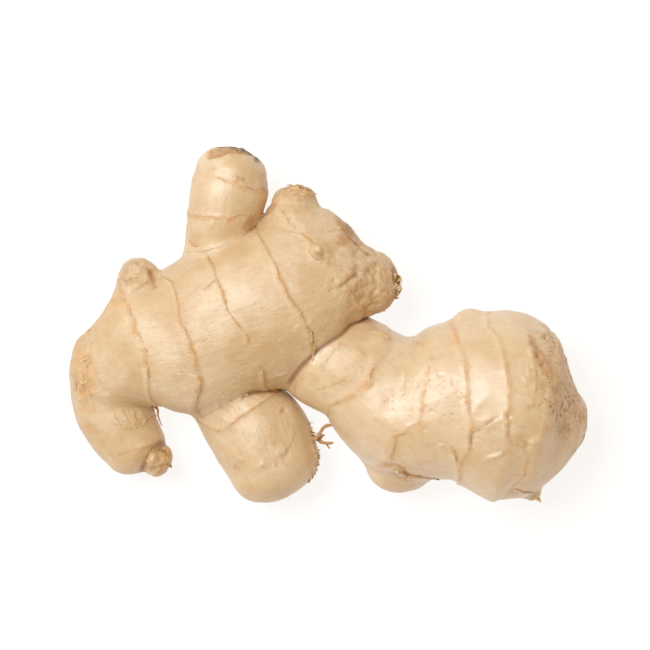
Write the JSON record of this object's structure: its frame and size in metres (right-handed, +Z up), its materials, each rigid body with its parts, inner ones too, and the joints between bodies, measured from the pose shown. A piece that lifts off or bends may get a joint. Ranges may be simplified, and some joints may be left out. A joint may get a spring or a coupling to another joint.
{
  "type": "ginger root",
  "caption": "Fresh ginger rhizome lying flat: two fat knobbly hands, short fingers and buds, ringed by leaf-scale scars.",
  "frame": {"origin": "centre of the outline's box, on the surface that the rhizome lies on", "axes": "+X along its length, from the old end with the small fingers to the fat second hand; +Y across it, towards the upper finger; +Z up"},
  "size_m": [0.1409, 0.0962, 0.0421],
  "materials": {
    "skin": "thin smooth skin, satin to slightly waxy, with dry papery scale edges"
  },
  "bodies": {
    "root": {"rhizome": "skin"}
  },
  "joints": []
}
